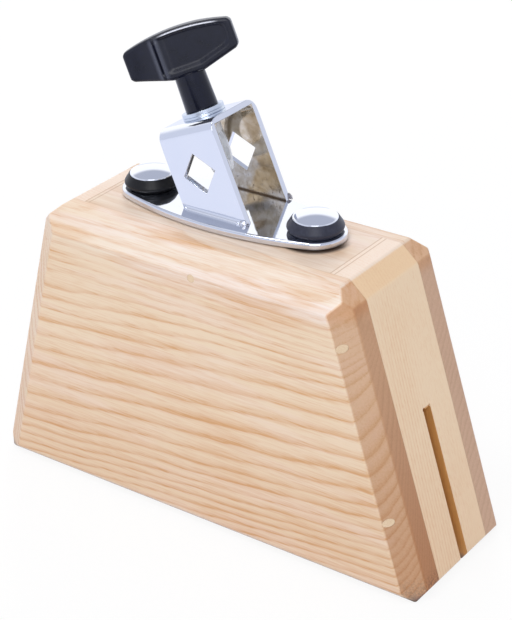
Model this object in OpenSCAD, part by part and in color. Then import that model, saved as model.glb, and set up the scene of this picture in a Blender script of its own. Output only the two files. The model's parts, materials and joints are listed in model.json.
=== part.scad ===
// Mounted woodblock: a hollow, slotted block of ash with a tilted rod clamp on top.
// Frame: the origin is the centre of the underside, X runs along the block, the front slab faces -Y, Z is up.

/* [Block] */
// Length of the block along its underside, measured to the sharp corners
block_length = 200; // [180:1:240]
// Length of the block at the top, measured to the sharp corners
top_length = 134; // [120:1:150]
// Height of the block
block_height = 114.2; // [100:0.1:130]
// Thickness of the front slab
front_slab_thickness = 15.5; // [12:0.1:18]
// Thickness of the rear slab
rear_slab_thickness = 15.7; // [12:0.1:18]
// Thickness of the core between the slabs
core_thickness = 33; // [28:0.1:40]

/* [Chamfers] */
// Front top chamfer, measured along Y
front_chamfer_depth = 9.6; // [4:0.1:12]
// Front top chamfer, measured along Z
front_chamfer_height = 7; // [4:0.1:12]
// Rear top chamfer, measured along Y
rear_chamfer_depth = 10.4; // [4:0.1:12]
// Rear top chamfer, measured along Z
rear_chamfer_height = 10.7; // [4:0.1:12]
// End top chamfer, measured along X
end_chamfer_length = 5; // [2:0.1:6]
// End top chamfer, measured along Z
end_chamfer_height = 6.2; // [2:0.1:8]
// Upright corner chamfer of the right end, measured square to the end face
corner_chamfer_length = 6.5; // [3:0.1:8]
// Upright corner chamfer of the right end, measured along Y
corner_chamfer_depth = 7.6; // [3:0.1:10]
// Upright corner chamfer of the left end, measured square to the end face
left_corner_chamfer_length = 9; // [3:0.1:10]
// Upright corner chamfer of the left end, measured along Y
left_corner_chamfer_depth = 6.7; // [3:0.1:10]
// Chamfer round the underside, the same both ways
foot_chamfer = 3.6; // [1:0.1:5]

/* [Core] */
// Thickness of the right end piece, measured along X
right_end_thickness = 13; // [10:0.1:16]
// Thickness of the left end piece, measured along X
left_end_thickness = 10.7; // [8:0.1:16]
// Thickness of the top rail
top_rail_thickness = 14; // [11:0.1:18]
// Thickness of the two strips at the bottom
bottom_strip_thickness = 12; // [8:0.1:18]
// Width of the sawn slot
slot_width = 4.6; // [4.4:0.1:8]
// Height of the slot's end above the underside
slot_height = 61; // [40:1:80]
// Distance of the slot's middle plane behind the middle of the block
slot_setback = 0.9; // [0:0.1:2]

/* [Pins] */
// Diameter of the wooden pins
pin_diameter = 3; // [2:0.1:4]
// Depth of a pin in the core
pin_depth = 10; // [6:0.5:11]
// Distance of a right pin from the end face, measured along X
pin_inset = 5; // [4:0.1:6]
// Distance of a left pin from the end face, measured along X
left_pin_inset = 8.4; // [4:0.1:8.6]
// Height of the lower pins
low_pin_height = 31; // [20:1:45]
// Drop of the upper pins below the block's top
high_pin_drop = 19.2; // [18.2:1:29.2]
// Drop of the rail pin below the block's top
rail_pin_drop = 8.8; // [8.7:0.1:9.7]
// Distance of the rail pin right of the block's middle
rail_pin_x = 5; // [-8:0.5:8]
// Gap round a glued pin and a pressed-in insert
glue_gap = 0.02; // [0.01:0.01:0.05]

/* [Base plate] */
// Middle of the bracket along X
bracket_x = -3.1; // [-6:0.1:6]
// Line of the two bolts along Y
bolt_line_y = 3.9; // [0:0.1:5]
// Distance between the two bolts
bolt_spacing = 74.2; // [68:0.1:80]
// Radius of the plate's round ends, about the bolts
plate_end_radius = 11.5; // [10:0.1:13]
// Half the width of the plate at its middle
plate_half_width = 17.4; // [15:0.1:18]
// Height of the plate's top above the wood
plate_top_height = 3; // [2.6:0.1:4]
// Gap between the plate's rim and the wood
rim_gap = 0.6; // [0.3:0.1:1]
// Thickness of the plate's sheet
plate_sheet = 1.2; // [0.8:0.1:1.5]

/* [Rubber bushes and bolts] */
// Height of a bush above the plate
bush_height = 5; // [4:0.1:7]
// Widest radius of a bush
bush_radius = 10.8; // [10:0.1:11]
// Radius of a bush's neck in the plate
bush_neck_radius = 5; // [4:0.1:6]
// Radius of a bush's flange under the plate
bush_flange_radius = 8; // [7:0.1:9]
// Diameter of the bracket bolts
bolt_diameter = 5; // [4:0.5:6]
// Radius of the domed heads
head_radius = 8.3; // [7.5:0.1:9]
// Height of a head's rim
head_rim = 0.7; // [0.5:0.1:1]
// Height of the dome above its rim
head_dome = 1.5; // [1:0.1:2.5]
// Depth of a head's seat in the bush
head_seat = 0.4; // [0.2:0.1:0.6]
// Width of a bolt's nut across its flats
nut_width = 8; // [8:0.5:10]
// Height of a bolt's nut
nut_height = 4; // [3:0.1:5]
// Radius of the washers under the rail
rail_washer_radius = 7.5; // [6:0.1:9]
// Thickness of the washers under the rail
rail_washer_thickness = 1.2; // [0.8:0.1:2]
// Length of bolt that stands out of its nut
bolt_end = 2; // [1:0.5:4]

/* [Strap] */
// Lean of the strap towards the left end, in degrees
strap_lean = 22.2; // [0:0.1:30]
// Distance of the strap's middle behind the line of the bolts
strap_setback = 3.2; // [0:0.1:4]
// Width of the strap
strap_width = 26.4; // [24:0.1:30]
// Thickness of the strap
strap_sheet = 2.4; // [1.5:0.1:3]
// Distance over the two legs
strap_depth = 26.8; // [26.8:0.1:30]
// Height of the strap's top, measured up its lean
strap_height = 34.8; // [34.8:0.1:40]
// Outer radius of the strap's bends
strap_bend = 4.6; // [3.2:0.1:5]
// Side of the square rod holes, which stand on a corner
rod_hole_side = 10.8; // [9:0.1:12]
// Height of the rod holes' centre, measured up the lean
rod_hole_height = 16.5; // [14:0.1:18]
// Radius of a weld bead at the end of a foot
weld_radius = 2.1; // [1.8:0.1:2.5]
// Radius of the weld along a foot
fillet_radius = 1.4; // [0.8:0.1:1.7]

/* [Clamp] */
// Diameter of the threaded stud
stud_diameter = 8; // [6:0.5:9]
// Height of the stud's top inside the knob, measured up the lean
stud_top_height = 49.5; // [47:0.5:49.5]
// Outer radius of the eye
eye_radius = 10.5; // [9.5:0.1:10.5]
// Radius of the eye's hole
eye_hole_radius = 6; // [5.5:0.1:6.5]
// Thickness of the eye
eye_thickness = 6.2; // [5:0.1:7]
// Radius of the eye's rounded edges
eye_round = 1.6; // [0.5:0.1:2]
// Radius of the boss on the eye
eye_boss_radius = 4.5; // [4.2:0.1:5.5]
// Turn of the eye about the stud, from in line with the rod holes, in degrees
eye_turn = -58; // [-90:1:90]
// Radius of the washers under the knob
clamp_washer_radius = 7.9; // [7.5:0.1:9]
// Thickness of the lower washer
lower_washer_thickness = 1; // [0.8:0.1:2]
// Thickness of the upper washer
upper_washer_thickness = 1.5; // [0.8:0.1:2]

/* [Knob] */
// Turn of the knob about the stud, in degrees
knob_turn = 35; // [0:1:180]
// Radius of the knob's neck at its foot
neck_foot_radius = 6.1; // [6:0.1:7]
// Radius of the knob's neck where it meets the wings
neck_top_radius = 5.7; // [5.6:0.1:7]
// Height of the neck
neck_height = 12.9; // [12:0.1:16]
// Height of the wings at the middle, from the neck to the crown
wing_height = 17.8; // [16:0.1:20]
// Distance from the stud's axis to a wing's tip
wing_reach = 20.7; // [18:0.1:24]
// Height of a wing's underside at the tip, above the neck
wing_tip_rise = 4.2; // [2:0.1:6]
// Drop of the crown from the middle to the tips
crown_drop = 3; // [1:0.1:4]
// Thickness of the wings in the middle
wing_thickness = 8.5; // [8.4:0.1:12]
// Distance of the upright ridges from the stud's axis
ridge_reach = 8.7; // [7:0.1:11]
// Amount by which a wing thins from its ridge to its tip
wing_taper = 2.2; // [1:0.1:3]
// Width of the border round a wing's sunk panel
panel_border = 2; // [1.5:0.1:3]
// Depth of a wing's sunk panel
panel_depth = 0.7; // [0.3:0.1:1]
// Radius of the metal insert
insert_radius = 5; // [4.8:0.1:5.2]

/* [Hidden] */
$fn = 96;
// Steps in each arc of the base plate
arc_steps = 24;

// Overrun of every cut past the face that it goes through
cut = 1;
// Clearance round a bolt or stud that passes through a sheet
free_gap = 0.3;
// Clearance of a running fit, and the play along the swivel's axis
running_gap = 0.05;

block_depth = front_slab_thickness + core_thickness + rear_slab_thickness;
front_y = -block_depth / 2;
rear_y = block_depth / 2;
core_front_y = front_y + front_slab_thickness;
core_rear_y = rear_y - rear_slab_thickness;
side_slope = (block_length - top_length) / (2 * block_height);
side_lean = atan(side_slope);
slot_y = slot_setback + (core_front_y + core_rear_y) / 2;
rail_bottom = block_height - top_rail_thickness;

plate_bottom = block_height + rim_gap;
plate_top = block_height + plate_top_height;
plate_underside = plate_top - plate_sheet;
end_arc_x = bolt_spacing / 2;
// Radius of the plate's long sides, so that they run smoothly into the round ends
side_arc_radius = (pow(end_arc_x, 2) + pow(plate_half_width, 2) - pow(plate_end_radius, 2))
    / (2 * (plate_half_width - plate_end_radius));
side_arc_y = side_arc_radius - plate_half_width;
// Direction from both centres to where a long side meets a round end
join_angle = atan2(side_arc_y, end_arc_x);

bolt_radius = bolt_diameter / 2;
nut_top = rail_bottom - rail_washer_thickness;
bolt_bottom = nut_top - nut_height - bolt_end;
head_bottom = plate_top + bush_height - head_seat;

strap_y = bolt_line_y + strap_setback;
strap_underside = strap_height - strap_sheet;
leg_inner = strap_depth / 2 - strap_sheet;
// Lowest corner of a leg, where it meets the flat plate
leg_foot = strap_width / 2 * tan(strap_lean);

stud_radius = stud_diameter / 2;
washer_top = strap_height + lower_washer_thickness + upper_washer_thickness;
eye_height = strap_underside - eye_radius - running_gap;
pivot_radius = eye_boss_radius * 5 / 9;
pivot_head_radius = eye_boss_radius * 7 / 9;
pivot_head_height = (eye_radius - eye_hole_radius) / 3;
pivot_seat_height = eye_height + eye_hole_radius + pivot_head_height;

wing_foot = washer_top + neck_height;
wing_top = wing_foot + wing_height;
crown_radius = (pow(wing_reach, 2) + pow(crown_drop, 2)) / (2 * crown_drop);
insert_height = neck_height - panel_border;
stud_room = stud_top_height + 2 * free_gap;

ash = [0.91, 0.80, 0.66];
pale_ash = [0.95, 0.86, 0.74];
chrome = [0.86, 0.88, 0.92];
zinc = [0.78, 0.80, 0.83];
black_rubber = [0.07, 0.07, 0.08];
black_plastic = [0.13, 0.14, 0.16];
brass = [0.80, 0.66, 0.36];

// Distance of the end face from the middle of the block at height z
function side_x(z) = block_length / 2 - side_slope * z;

// Points along an arc about [x, y], without its last point, where the next arc begins
function arc(x, y, radius, from, to) = [
    for (i = [0 : arc_steps - 1])
        let (angle = from + (to - from) * i / arc_steps)
            [x + radius * cos(angle), y + radius * sin(angle)]
];

// Outer form of the glued block

module front_outline() {
    polygon([
        [-side_x(0) + foot_chamfer, 0],
        [side_x(0) - foot_chamfer, 0],
        [side_x(foot_chamfer), foot_chamfer],
        [side_x(block_height - end_chamfer_height), block_height - end_chamfer_height],
        [side_x(block_height) - end_chamfer_length, block_height],
        [-side_x(block_height) + end_chamfer_length, block_height],
        [-side_x(block_height - end_chamfer_height), block_height - end_chamfer_height],
        [-side_x(foot_chamfer), foot_chamfer]
    ]);
}

module side_outline() {
    polygon([
        [front_y + foot_chamfer, 0],
        [rear_y - foot_chamfer, 0],
        [rear_y, foot_chamfer],
        [rear_y, block_height - rear_chamfer_height],
        [rear_y - rear_chamfer_depth, block_height],
        [front_y + front_chamfer_depth, block_height],
        [front_y, block_height - front_chamfer_height],
        [front_y, foot_chamfer]
    ]);
}

// Plan of one end with its corner chamfers, square to its leaning face, which lies at x = 0
module end_outline(chamfer_length, chamfer_depth) {
    polygon([
        [-block_length, front_y],
        [-chamfer_length, front_y],
        [0, front_y + chamfer_depth],
        [0, rear_y - chamfer_depth],
        [-chamfer_length, rear_y],
        [-block_length, rear_y]
    ]);
}

module end_prism(chamfer_length, chamfer_depth) {
    translate([block_length / 2, 0, 0])
        rotate([0, -side_lean, 0])
            linear_extrude(height = 3 * block_height, center = true)
                end_outline(chamfer_length, chamfer_depth);
}

module block_form() {
    intersection() {
        rotate([90, 0, 0])
            linear_extrude(height = block_depth, center = true)
                front_outline();
        rotate([90, 0, 90])
            linear_extrude(height = block_length, center = true)
                side_outline();
        end_prism(corner_chamfer_length, corner_chamfer_depth);
        mirror([1, 0, 0])
            end_prism(left_corner_chamfer_length, left_corner_chamfer_depth);
    }
}

// Everything between two planes square to Y
module between_y(low, high) {
    translate([-block_length, low, -cut])
        cube([2 * block_length, high - low, block_height + 2 * cut]);
}

// Space inside the end pieces, from height low to height high
module inner_space(low, high) {
    rotate([90, 0, 0])
        linear_extrude(height = 2 * block_depth, center = true)
            polygon([
                [-side_x(low) + left_end_thickness, low],
                [side_x(low) - right_end_thickness, low],
                [side_x(high) - right_end_thickness, high],
                [-side_x(high) + left_end_thickness, high]
            ]);
}

module slot() {
    translate([-block_length, slot_y - slot_width / 2, -cut])
        cube([2 * block_length, slot_width, slot_height + cut]);
}

// Calls its children at the five places of a slab's pins
module at_pins() {
    for (z = [low_pin_height, block_height - high_pin_drop]) {
        translate([side_x(z) - pin_inset, 0, z])
            children();
        translate([left_pin_inset - side_x(z), 0, z])
            children();
    }
    translate([rail_pin_x, 0, block_height - rail_pin_drop])
        children();
}

module front_pin_rods(gap) {
    at_pins()
        translate([0, core_front_y + pin_depth, 0])
            rotate([90, 0, 0])
                cylinder(r = pin_diameter / 2 + gap, h = pin_depth + front_slab_thickness);
}

module rear_pin_rods(gap) {
    at_pins()
        translate([0, rear_y, 0])
            rotate([90, 0, 0])
                cylinder(r = pin_diameter / 2 + gap, h = pin_depth + rear_slab_thickness);
}

module pin_holes() {
    front_pin_rods(glue_gap);
    rear_pin_rods(glue_gap);
}

// Calls its children at the two bracket bolts, at the height of the wood's top
module at_bolts() {
    for (side = [-1, 1])
        translate([bracket_x + side * bolt_spacing / 2, bolt_line_y, block_height])
            children();
}

// Wood

module front_slab() {
    color(ash)
        difference() {
            intersection() {
                block_form();
                between_y(front_y, core_front_y);
            }
            pin_holes();
        }
}

module rear_slab() {
    color(ash)
        difference() {
            intersection() {
                block_form();
                between_y(core_rear_y, rear_y);
            }
            pin_holes();
        }
}

module core_form() {
    intersection() {
        block_form();
        between_y(core_front_y, core_rear_y);
    }
}

module top_rail() {
    color(pale_ash)
        difference() {
            intersection() {
                core_form();
                inner_space(rail_bottom, block_height);
            }
            pin_holes();
            at_bolts()
                translate([0, 0, -top_rail_thickness - cut])
                    cylinder(r = bolt_radius + free_gap, h = top_rail_thickness + 2 * cut);
        }
}

// The piece of the core between x = low and one block's length further, outside the inner space
module end_piece(low) {
    color(pale_ash)
        difference() {
            intersection() {
                core_form();
                translate([low, front_y, -cut])
                    cube([block_length, block_depth, block_height + 2 * cut]);
            }
            inner_space(-cut, block_height + cut);
            pin_holes();
            slot();
        }
}

module left_end() {
    end_piece(-block_length);
}

module right_end() {
    end_piece(0);
}

module bottom_strip(low, high) {
    color(pale_ash)
        intersection() {
            core_form();
            inner_space(0, bottom_strip_thickness);
            between_y(low, high);
        }
}

module front_bottom_strip() {
    bottom_strip(core_front_y, slot_y - slot_width / 2);
}

module rear_bottom_strip() {
    bottom_strip(slot_y + slot_width / 2, core_rear_y);
}

module front_pins() {
    color(pale_ash)
        intersection() {
            block_form();
            front_pin_rods(0);
        }
}

module rear_pins() {
    color(pale_ash)
        intersection() {
            block_form();
            rear_pin_rods(0);
        }
}

// Bracket

// Oval of two round ends and two long arcs, drawn in all round by inset
module plate_outline(inset) {
    polygon(concat(
        arc(end_arc_x, 0, plate_end_radius - inset, -join_angle, join_angle),
        arc(0, -side_arc_y, side_arc_radius - inset, join_angle, 180 - join_angle),
        arc(-end_arc_x, 0, plate_end_radius - inset, 180 - join_angle, 180 + join_angle),
        arc(0, side_arc_y, side_arc_radius - inset, 180 + join_angle, 360 - join_angle)
    ));
}

module base_plate() {
    color(chrome)
        difference() {
            translate([bracket_x, bolt_line_y, plate_bottom])
                linear_extrude(height = plate_top - plate_bottom)
                    plate_outline(0);
            translate([bracket_x, bolt_line_y, plate_bottom - cut])
                linear_extrude(height = plate_underside - plate_bottom + cut)
                    plate_outline(plate_sheet);
            at_bolts()
                cylinder(r = bush_neck_radius, h = plate_top_height + cut);
        }
}

// Leaning frame of the strap: its origin is on the plate's top, z runs up the lean
module on_strap() {
    translate([bracket_x, strap_y, plate_top])
        rotate([0, -strap_lean, 0])
            children();
}

// Section of the bent strap, as seen along its width
module strap_section(reach, top, bend) {
    translate([-reach, -leg_foot - cut])
        square([2 * reach, top - bend + leg_foot + cut]);
    translate([-reach + bend, 0])
        square([2 * (reach - bend), top]);
    for (side = [-1, 1])
        translate([side * (reach - bend), top - bend])
            circle(r = bend);
}

module below_plate_top() {
    translate([bracket_x - block_length / 2, strap_y - block_depth / 2, plate_top - block_height])
        cube([block_length, block_depth, block_height]);
}

module strap() {
    color(chrome)
        difference() {
            on_strap()
                difference() {
                    rotate([90, 0, 90])
                        linear_extrude(height = strap_width, center = true)
                            difference() {
                                strap_section(strap_depth / 2, strap_height, strap_bend);
                                translate([0, -cut])
                                    strap_section(leg_inner, strap_underside + cut, strap_bend - strap_sheet);
                            }
                    translate([0, 0, rod_hole_height])
                        rotate([0, 45, 0])
                            cube([rod_hole_side, strap_depth + 2 * cut, rod_hole_side], center = true);
                    translate([0, 0, strap_underside - cut])
                        cylinder(r = stud_radius + free_gap, h = strap_sheet + 2 * cut);
                }
            below_plate_top();
        }
}

// A bead at each end of each foot, wrapped round the leg's outer corner
module weld_beads() {
    reach = strap_width / 2 / cos(strap_lean) - weld_radius / 2;
    color(chrome)
        difference() {
            for (face = [-1, 1])
                translate([bracket_x, strap_y + face * strap_depth / 2, plate_top]) {
                    rotate([0, 90, 0])
                        cylinder(r = fillet_radius, h = 2 * reach, center = true);
                    for (side = [-1, 1])
                        translate([side * reach, 0, 0])
                            sphere(r = weld_radius);
                }
            below_plate_top();
            translate([bracket_x - block_length / 2, strap_y - strap_depth / 2, plate_top - cut])
                cube([block_length, strap_depth, strap_height]);
        }
}

module bush() {
    difference() {
        rotate_extrude() {
            square([bush_flange_radius, plate_underside - block_height]);
            square([bush_neck_radius, plate_top_height + cut]);
            translate([0, plate_top_height])
                square([bush_radius - bush_height / 2, bush_height]);
            translate([bush_radius - bush_height / 2, plate_top_height + bush_height / 2])
                circle(r = bush_height / 2);
        }
        translate([0, 0, plate_top_height + bush_height - head_seat])
            cylinder(r = head_radius, h = head_seat + cut);
        translate([0, 0, -cut])
            cylinder(r = bolt_radius, h = plate_top_height + bush_height + 2 * cut);
    }
}

module left_bush() {
    color(black_rubber)
        translate([bracket_x - bolt_spacing / 2, bolt_line_y, block_height])
            bush();
}

module right_bush() {
    color(black_rubber)
        translate([bracket_x + bolt_spacing / 2, bolt_line_y, block_height])
            bush();
}

// A plain domed head on a straight shank
module bracket_bolts() {
    dome_radius = (pow(head_radius, 2) + pow(head_dome, 2)) / (2 * head_dome);
    color(chrome)
        at_bolts() {
            translate([0, 0, bolt_bottom - block_height])
                cylinder(r = bolt_radius, h = head_bottom - bolt_bottom + head_rim);
            translate([0, 0, head_bottom - block_height]) {
                cylinder(r = head_radius, h = head_rim);
                intersection() {
                    translate([0, 0, head_rim + head_dome - dome_radius])
                        sphere(r = dome_radius);
                    cylinder(r = head_radius, h = 2 * (head_rim + head_dome));
                }
            }
        }
}

module bracket_washers() {
    color(zinc)
        at_bolts()
            translate([0, 0, nut_top - block_height])
                difference() {
                    cylinder(r = rail_washer_radius, h = rail_washer_thickness);
                    translate([0, 0, -cut])
                        cylinder(r = bolt_radius + free_gap, h = rail_washer_thickness + 2 * cut);
                }
}

module bracket_nuts() {
    color(zinc)
        at_bolts()
            translate([0, 0, nut_top - nut_height - block_height])
                difference() {
                    cylinder(r = nut_width / sqrt(3), h = nut_height, $fn = 6);
                    translate([0, 0, -cut])
                        cylinder(r = bolt_radius, h = nut_height + 2 * cut);
                }
}

// Clamp

module clamp_washer(bottom, thickness) {
    color(zinc)
        on_strap()
            translate([0, 0, bottom])
                difference() {
                    cylinder(r = clamp_washer_radius, h = thickness);
                    translate([0, 0, -cut])
                        cylinder(r = stud_radius + free_gap, h = thickness + 2 * cut);
                }
}

module lower_washer() {
    clamp_washer(strap_height, lower_washer_thickness);
}

module upper_washer() {
    clamp_washer(strap_height + lower_washer_thickness, upper_washer_thickness);
}

// Wings as seen from the front, between their arched crown and rising undersides
module wing_front() {
    intersection() {
        translate([0, wing_top - crown_radius])
            circle(r = crown_radius, $fn = 360);
        polygon([
            [-neck_top_radius, wing_foot],
            [neck_top_radius, wing_foot],
            [wing_reach, wing_foot + wing_tip_rise],
            [wing_reach, wing_top],
            [-wing_reach, wing_top],
            [-wing_reach, wing_foot + wing_tip_rise]
        ]);
    }
}

// Wings as seen from above: each face is flat to its ridge and then runs in to the tip
module wing_plan() {
    half = wing_thickness / 2;
    polygon([
        [wing_reach, -half],
        [-ridge_reach, -half],
        [-wing_reach, -half + wing_taper],
        [-wing_reach, half],
        [ridge_reach, half],
        [wing_reach, half - wing_taper]
    ]);
}

// Sunk panel on the flat part of a face
module wing_panel() {
    low = wing_foot + wing_tip_rise;
    translate([0, -wing_thickness / 2 + panel_depth, 0])
        rotate([90, 0, 0])
            linear_extrude(height = panel_depth + cut)
                polygon([
                    [-ridge_reach + panel_border / 2, low + panel_border / 2],
                    [wing_reach - panel_border, low + panel_border],
                    [wing_reach - panel_border, wing_top - crown_drop - panel_border],
                    [-ridge_reach + panel_border / 2, wing_top - 1.5 * panel_border]
                ]);
}

module knob() {
    color(black_plastic)
        on_strap()
            rotate([0, 0, knob_turn])
                difference() {
                    union() {
                        translate([0, 0, washer_top])
                            cylinder(r1 = neck_foot_radius, r2 = neck_top_radius, h = neck_height + cut);
                        intersection() {
                            rotate([90, 0, 0])
                                linear_extrude(height = 2 * wing_thickness, center = true)
                                    wing_front();
                            translate([0, 0, wing_foot - cut])
                                linear_extrude(height = wing_height + 2 * cut)
                                    wing_plan();
                        }
                    }
                    for (side = [0, 180])
                        rotate([0, 0, side])
                            wing_panel();
                    translate([0, 0, washer_top - cut])
                        cylinder(r = insert_radius + glue_gap, h = insert_height + cut);
                    translate([0, 0, washer_top])
                        cylinder(r = stud_radius + running_gap, h = stud_room - washer_top);
                }
}

module knob_insert() {
    color(brass)
        on_strap()
            translate([0, 0, washer_top])
                difference() {
                    cylinder(r = insert_radius, h = insert_height);
                    translate([0, 0, -cut])
                        cylinder(r = stud_radius + running_gap, h = insert_height + 2 * cut);
                }
}

// Stud with a thinner pivot below it, which ends in a small head inside the eye
module clamp_stud() {
    color(zinc)
        on_strap() {
            translate([0, 0, strap_underside])
                cylinder(r = stud_radius, h = stud_top_height - strap_underside);
            translate([0, 0, pivot_seat_height - pivot_head_height])
                cylinder(r = pivot_radius, h = strap_underside - pivot_seat_height + 2 * pivot_head_height);
            translate([0, 0, pivot_seat_height - pivot_head_height])
                cylinder(r = pivot_head_radius, h = pivot_head_height - running_gap);
        }
}

// Ring with rounded edges and a boss, drawn about the origin with its hole along Y
module eye_form() {
    half = eye_thickness / 2;
    difference() {
        union() {
            rotate([90, 0, 0])
                rotate_extrude() {
                    translate([eye_hole_radius - cut, -half])
                        square([eye_radius - eye_round - eye_hole_radius + cut, eye_thickness]);
                    translate([eye_hole_radius - cut, -half + eye_round])
                        square([eye_radius - eye_hole_radius + cut, eye_thickness - 2 * eye_round]);
                    for (side = [-1, 1])
                        translate([eye_radius - eye_round, side * (half - eye_round)])
                            circle(r = eye_round);
                }
            translate([0, 0, eye_hole_radius - cut])
                cylinder(r = eye_boss_radius, h = eye_radius - eye_hole_radius + cut);
        }
        rotate([90, 0, 0])
            cylinder(r = eye_hole_radius, h = 2 * eye_radius, center = true);
        cylinder(r = pivot_radius + running_gap, h = eye_radius + cut);
        cylinder(r = pivot_head_radius + running_gap, h = eye_hole_radius + pivot_head_height);
    }
}

module clamp_eye() {
    color(chrome)
        on_strap()
            translate([0, 0, eye_height])
                rotate([0, 0, eye_turn])
                    eye_form();
}

front_slab();
rear_slab();
top_rail();
left_end();
right_end();
front_bottom_strip();
rear_bottom_strip();
front_pins();
rear_pins();
base_plate();
strap();
weld_beads();
left_bush();
right_bush();
bracket_bolts();
bracket_washers();
bracket_nuts();
lower_washer();
upper_washer();
knob();
knob_insert();
clamp_stud();
clamp_eye();
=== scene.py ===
import json
import math
from functools import partialmethod

import bmesh
import bpy
from mathutils import Matrix, Vector, noise


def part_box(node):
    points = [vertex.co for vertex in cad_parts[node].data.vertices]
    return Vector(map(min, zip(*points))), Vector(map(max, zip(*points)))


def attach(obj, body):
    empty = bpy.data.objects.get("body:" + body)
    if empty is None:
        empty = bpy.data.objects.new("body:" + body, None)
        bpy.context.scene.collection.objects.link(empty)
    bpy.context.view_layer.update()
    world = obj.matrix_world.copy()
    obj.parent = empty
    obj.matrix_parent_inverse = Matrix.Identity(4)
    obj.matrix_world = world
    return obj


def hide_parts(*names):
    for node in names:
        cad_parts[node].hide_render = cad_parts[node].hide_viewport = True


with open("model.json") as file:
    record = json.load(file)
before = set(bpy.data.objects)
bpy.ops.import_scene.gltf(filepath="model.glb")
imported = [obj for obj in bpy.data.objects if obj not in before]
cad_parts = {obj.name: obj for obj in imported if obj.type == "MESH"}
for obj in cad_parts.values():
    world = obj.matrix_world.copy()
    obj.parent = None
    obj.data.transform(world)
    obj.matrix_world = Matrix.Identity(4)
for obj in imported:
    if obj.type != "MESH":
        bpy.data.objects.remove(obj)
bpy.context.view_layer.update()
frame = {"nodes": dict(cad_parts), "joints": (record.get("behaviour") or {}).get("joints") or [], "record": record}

# One millimetre in Blender's metres; sizes below are in millimetres unless they say otherwise
MM = 0.001

# Camera, solved from the edges of the block in the photograph
CAMERA_PLACE = (0.3794, -0.4899, 0.4077)
CAMERA_LENS = 109.44
CAMERA_SENSOR = 36
CAMERA_AZIMUTH = 37.088
CAMERA_ELEVATION = 28.119
CAMERA_ROLL = -2.189

# Grain of the front slab: rings rise by this share of the length and curl up towards the core
RING_RISE_SHARE = 0.103
RING_CURL = 0.065
# On the left corner chamfer they climb this much for each millimetre inwards
LEFT_STEEPNESS = 1.7
# Height at which they are widest, how many lie there in a millimetre, and how fast and how far above and
# below it they narrow
WIDE_RING_HEIGHT = 54
WIDE_RINGS = 0.13
RING_NARROWING = 3.7e-5
NARROW_RING_DISTANCE = 38
# How dark a growth ring is from its start to its end
RING_STOPS = [(0.0, 0.92), (0.08, 0.8), (0.24, 0.42), (0.5, 0.12), (0.76, 0.02), (0.92, 0.3), (1.0, 0.92)]
# What is left of the rings in the upper part of the boards, and again of those on the chamfer and the top
UPPER_RINGS = 0.6
TOP_RINGS = 0.85
# Painted shade: the wood darker and warmer towards the bottom, and its end grain more so
LOW_SHADE_TINT = (0.93, 0.87, 0.82, 1)
LOW_END_SHADE_TINT = (0.78, 0.6, 0.42, 1)
# Painted light and sheen: the top paler and cooler, and the flat top of the end pieces still cooler
TOP_LIGHT_TINT = (1.02, 1.07, 1.19, 1)
END_TOP_LIGHT_TINT = (0.97, 1.05, 1.29, 1)
# Painted light making the chamfer along the top of the slabs paler, and its browner facets at the right corners
CHAMFER_LIGHT_TINT = (1.03, 1.07, 1.12, 1)
CORNER_TINT = (0.95, 0.79, 0.62, 1)
# Pinkish streaks in the pale wood between the rings
BLUSH_TONE = (250, 226, 208)
# Heights over which a look of the wood comes or goes: the stain at the foot of the right end, the painted shade
# low down, the rings' slope, their curl, their strength in two steps, flame streaks, the painted light on the
# top, the chamfer and the flat top
BLOCK_TOP = 114.2
STAIN_HEIGHTS = (2, 11)
LOW_SHADE_HEIGHTS = (0, 75)
SLOPE_HEIGHTS = (78, 96)
CURL_HEIGHTS = (84, 100)
FAINT_HEIGHTS = (78, 98)
FAINTER_HEIGHTS = (100, 107)
FLAME_HEIGHTS = (92, 104)
TOP_LIGHT_HEIGHTS = (98, 110)
CHAMFER_HEIGHTS = (102, 107)
FLAT_TOP_HEIGHTS = (BLOCK_TOP - 0.9, BLOCK_TOP - 0.3)
# How far the grain is turned from X in the boards whose grain lies along it
LYING = (0, 0, 0)
# Fineness of the fibres and pores for grain along Z and for grain along X
FIBRE_SCALE = [(1.6, 1.6, 0.05), (0.05, 1.6, 1.6)]
PORE_SCALE = [(2.6, 2.6, 0.14), (0.14, 2.6, 2.6)]
# The edge all round the underside, with painted shade on it
FOOT_CHAMFER = 3.6
FOOT_SHADE_TONE = (112, 98, 96)
# Painted shadow: dark under the rim at the right end of the plate, and browner on the wood round it
RIM_RADIUS = 11.5
RIM_SHADOW_TONE = (58, 42, 32)
RIM_SHADOW_TINT = (0.84, 0.74, 0.62, 1)
# The stain at the foot of the right end
STAIN_TONE = (112, 72, 46)
# Glue lines: lean of the block's sides, where the end pieces' inner faces meet the ground, and where the
# core's faces lie
SIDE_SLOPE = 0.289
RIGHT_SEAM = 87
LEFT_SEAM = 89.3
CORE_MIDDLE = -0.1
CORE_HALF = 16.5
SEAM_WIDTH = 0.38
# The glue line of an end piece shows on the top as two lines this far apart
SEAM_TWIN = 1.7
SEAM_TONE = (186, 140, 96)
# The sawn slot, with painted shade on the wood inside it
SLOT_MIDDLE = 0.8
SLOT_HALF = 2.3
SLOT_TOP = 61
SLOT_SHADOW_TONE = (238, 182, 112)
SLOT_SHADE = (196, 136, 74)
# The wing knob: its turn about the stud, how high its wings start above its neck's end, the distance of its
# ridge and of the groove on it from the middle, and of the raised lips from the groove
KNOB_TURN = 35
WING_FOOT = 12.9
RIDGE_REACH = 8.7
GROOVE_REACH = RIDGE_REACH - 0.4
GROOVE_LIP = 0.85
# Radius of the crown's arc and how far below it the painted highlight on the rim of the panel lies
CROWN_RADIUS = 72.9
HIGHLIGHT_DROP = 0.95

cad = frame["nodes"]
joints = {joint["name"]: joint for joint in frame["joints"]}
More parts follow.
